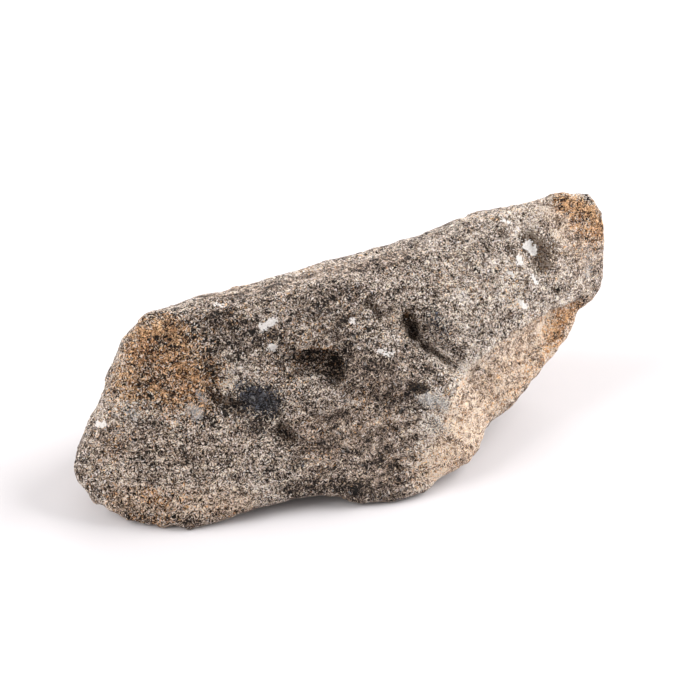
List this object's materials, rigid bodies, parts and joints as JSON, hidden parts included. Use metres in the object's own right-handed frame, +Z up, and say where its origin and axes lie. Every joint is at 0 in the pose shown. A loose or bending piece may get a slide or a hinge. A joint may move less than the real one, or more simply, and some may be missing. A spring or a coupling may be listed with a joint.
{
  "type": "rough mineral specimen",
  "caption": "Rough, unpolished hand specimen of grey iron-stained crystalline rock, a wedge-shaped broken block with a raised tip, a conchoidal hollow and a groove in its front face.",
  "frame": {"origin": "middle of the stone's box, at the surface it rests on", "axes": "+X along the stone's long axis towards its raised tip, +Z up, -Y towards the broad sloping front face"},
  "size_m": [0.0816, 0.0344, 0.0289],
  "materials": {
    "rock": "rough, granular, unpolished"
  },
  "bodies": {
    "root": {"stone": "rock"}
  },
  "joints": []
}
